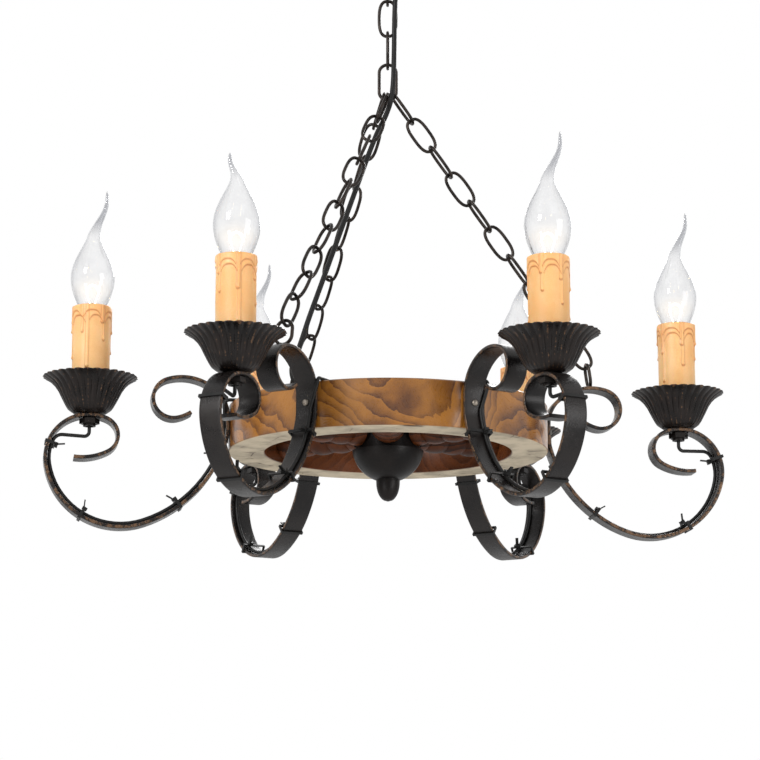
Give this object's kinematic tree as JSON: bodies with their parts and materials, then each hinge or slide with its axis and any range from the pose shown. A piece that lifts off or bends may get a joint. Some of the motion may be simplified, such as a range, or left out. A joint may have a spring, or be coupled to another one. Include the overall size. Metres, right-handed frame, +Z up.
{
  "type": "wagon wheel chandelier",
  "caption": "Hanging chandelier: turned wooden wheel on chain slings, flat iron scroll arms with fluted dishes, wax-look candle sleeves and flame-tip lamps.",
  "frame": {"origin": "centre of the ceiling face, between the two ceiling screw holes", "axes": "+Z up; everything hangs below z = 0; the picture looks along +Y"},
  "size_m": [0.5485, 0.4827, 0.5229],
  "materials": {
    "bracket": "galvanised",
    "dark_metal": "satin, dark bronze",
    "screw": "aged",
    "black_plastic": "matte",
    "chain": "pewter brown, worn",
    "cord": "black sheath",
    "rim_wood": "varnished outer face",
    "spoke_wood": "glossy varnish",
    "steel": "plain",
    "iron": "brown-black with rubbed bronze",
    "dish": "near black",
    "wax": "cream, wax look",
    "holder": "white",
    "brass": "plain",
    "glass": "clear"
  },
  "bodies": {
    "canopy": {"ceiling_bracket": "bracket", "canopy": "dark_metal", "canopy_loop": "dark_metal", "canopy_screws": "screw", "cord_grommet": "black_plastic"},
    "link_4": {"main_link_4": "chain"},
    "link_3": {"main_link_3": "chain"},
    "link_2": {"main_link_2": "chain"},
    "link_1": {"main_link_1": "chain"},
    "wheel": {"sling_1": "chain", "sling_3": "chain", "sling_5": "chain", "chain_eyes": "chain", "supply_cord": "cord", "wheel_rim": "rim_wood", "hub": "dark_metal", "hub_cover": "dark_metal", "finial": "dark_metal", "hub_rod": "steel", "spoke_1": "spoke_wood", "spoke_2": "spoke_wood", "spoke_3": "spoke_wood", "spoke_4": "spoke_wood", "spoke_5": "spoke_wood", "spoke_6": "spoke_wood", "arm_1": "iron", "arm_2": "iron", "arm_3": "iron", "arm_4": "iron", "arm_5": "iron", "arm_6": "iron", "arm_screws": "screw", "arm_wires": "black_plastic", "cable_ties": "black_plastic", "holder_pipes": "steel", "lamp_holders": "holder", "dish_1": "dish", "dish_2": "dish", "dish_3": "dish", "dish_4": "dish", "dish_5": "dish", "dish_6": "dish", "sleeve_1": "wax", "sleeve_2": "wax", "sleeve_3": "wax", "sleeve_4": "wax", "sleeve_5": "wax", "sleeve_6": "wax"},
    "lamp_1_cap": {"bulb_cap_1": "brass"},
    "lamp_1_glass": {"bulb_glass_1": "glass"},
    "lamp_2_cap": {"bulb_cap_2": "brass"},
    "lamp_2_glass": {"bulb_glass_2": "glass"},
    "lamp_3_cap": {"bulb_cap_3": "brass"},
    "lamp_3_glass": {"bulb_glass_3": "glass"},
    "lamp_4_cap": {"bulb_cap_4": "brass"},
    "lamp_4_glass": {"bulb_glass_4": "glass"},
    "lamp_5_cap": {"bulb_cap_5": "brass"},
    "lamp_5_glass": {"bulb_glass_5": "glass"},
    "lamp_6_cap": {"bulb_cap_6": "brass"},
    "lamp_6_glass": {"bulb_glass_6": "glass"}
  },
  "joints": [
    {"name": "canopy_to_link_4", "type": "hinge", "parent": "canopy", "child": "link_4", "pos_m": [0, 0, -0.051], "axis": [1, 0, 0], "range_deg": [-12, 12], "deforming": ["supply_cord"]},
    {"name": "link_4_to_link_3", "type": "hinge", "parent": "link_4", "child": "link_3", "pos_m": [0, 0, -0.078], "axis": [0, 1, 0], "range_deg": [-12, 12], "deforming": ["supply_cord"]},
    {"name": "link_3_to_link_2", "type": "hinge", "parent": "link_3", "child": "link_2", "pos_m": [0, 0, -0.10565], "axis": [1, 0, 0], "range_deg": [-12, 12], "deforming": ["supply_cord"]},
    {"name": "link_2_to_link_1", "type": "hinge", "parent": "link_2", "child": "link_1", "pos_m": [0, 0, -0.1333], "axis": [0, 1, 0], "range_deg": [-12, 12], "deforming": ["supply_cord"]},
    {"name": "link_1_to_wheel", "type": "hinge", "parent": "link_1", "child": "wheel", "pos_m": [0, 0, -0.16095], "axis": [1, 0, 0], "range_deg": [-12, 12], "deforming": ["supply_cord"]},
    {"name": "lamp_1_lift", "type": "slide", "parent": "wheel", "child": "lamp_1_cap", "axis": [0, 0, 1], "range_m": [0, 0.0085]},
    {"name": "lamp_1_turn", "type": "hinge", "parent": "lamp_1_cap", "child": "lamp_1_glass", "pos_m": [0.23674, 0.02907, -0.35625], "axis": [0, 0, 1], "range_deg": [0, 1080]},
    {"name": "lamp_2_lift", "type": "slide", "parent": "wheel", "child": "lamp_2_cap", "axis": [0, 0, 1], "range_m": [0, 0.0085]},
    {"name": "lamp_2_turn", "type": "hinge", "parent": "lamp_2_cap", "child": "lamp_2_glass", "pos_m": [0.11654, 0.20185, -0.35677], "axis": [0, 0, 1], "range_deg": [0, 1080]},
    {"name": "lamp_3_lift", "type": "slide", "parent": "wheel", "child": "lamp_3_cap", "axis": [0, 0, 1], "range_m": [0, 0.0085]},
    {"name": "lamp_3_turn", "type": "hinge", "parent": "lamp_3_cap", "child": "lamp_3_glass", "pos_m": [-0.11545, 0.19997, -0.35697], "axis": [0, 0, 1], "range_deg": [0, 1080]},
    {"name": "lamp_4_lift", "type": "slide", "parent": "wheel", "child": "lamp_4_cap", "axis": [0, 0, 1], "range_m": [0, 0.0085]},
    {"name": "lamp_4_turn", "type": "hinge", "parent": "lamp_4_cap", "child": "lamp_4_glass", "pos_m": [-0.23558, -0.03731, -0.35625], "axis": [0, 0, 1], "range_deg": [0, 1080]},
    {"name": "lamp_5_lift", "type": "slide", "parent": "wheel", "child": "lamp_5_cap", "axis": [0, 0, 1], "range_m": [0, 0.0085]},
    {"name": "lamp_5_turn", "type": "hinge", "parent": "lamp_5_cap", "child": "lamp_5_glass", "pos_m": [-0.11122, -0.20484, -0.35677], "axis": [0, 0, 1], "range_deg": [0, 1080]},
    {"name": "lamp_6_lift", "type": "slide", "parent": "wheel", "child": "lamp_6_cap", "axis": [0, 0, 1], "range_m": [0, 0.0085]},
    {"name": "lamp_6_turn", "type": "hinge", "parent": "lamp_6_cap", "child": "lamp_6_glass", "pos_m": [0.11654, -0.20185, -0.35677], "axis": [0, 0, 1], "range_deg": [0, 1080]}
  ],
  "couplings": [
    {"joint": "lamp_1_lift", "follows": "lamp_1_turn", "m_per_rad": 0.000449},
    {"joint": "lamp_2_lift", "follows": "lamp_2_turn", "m_per_rad": 0.000449},
    {"joint": "lamp_3_lift", "follows": "lamp_3_turn", "m_per_rad": 0.000449},
    {"joint": "lamp_4_lift", "follows": "lamp_4_turn", "m_per_rad": 0.000449},
    {"joint": "lamp_5_lift", "follows": "lamp_5_turn", "m_per_rad": 0.000449},
    {"joint": "lamp_6_lift", "follows": "lamp_6_turn", "m_per_rad": 0.000449}
  ]
}
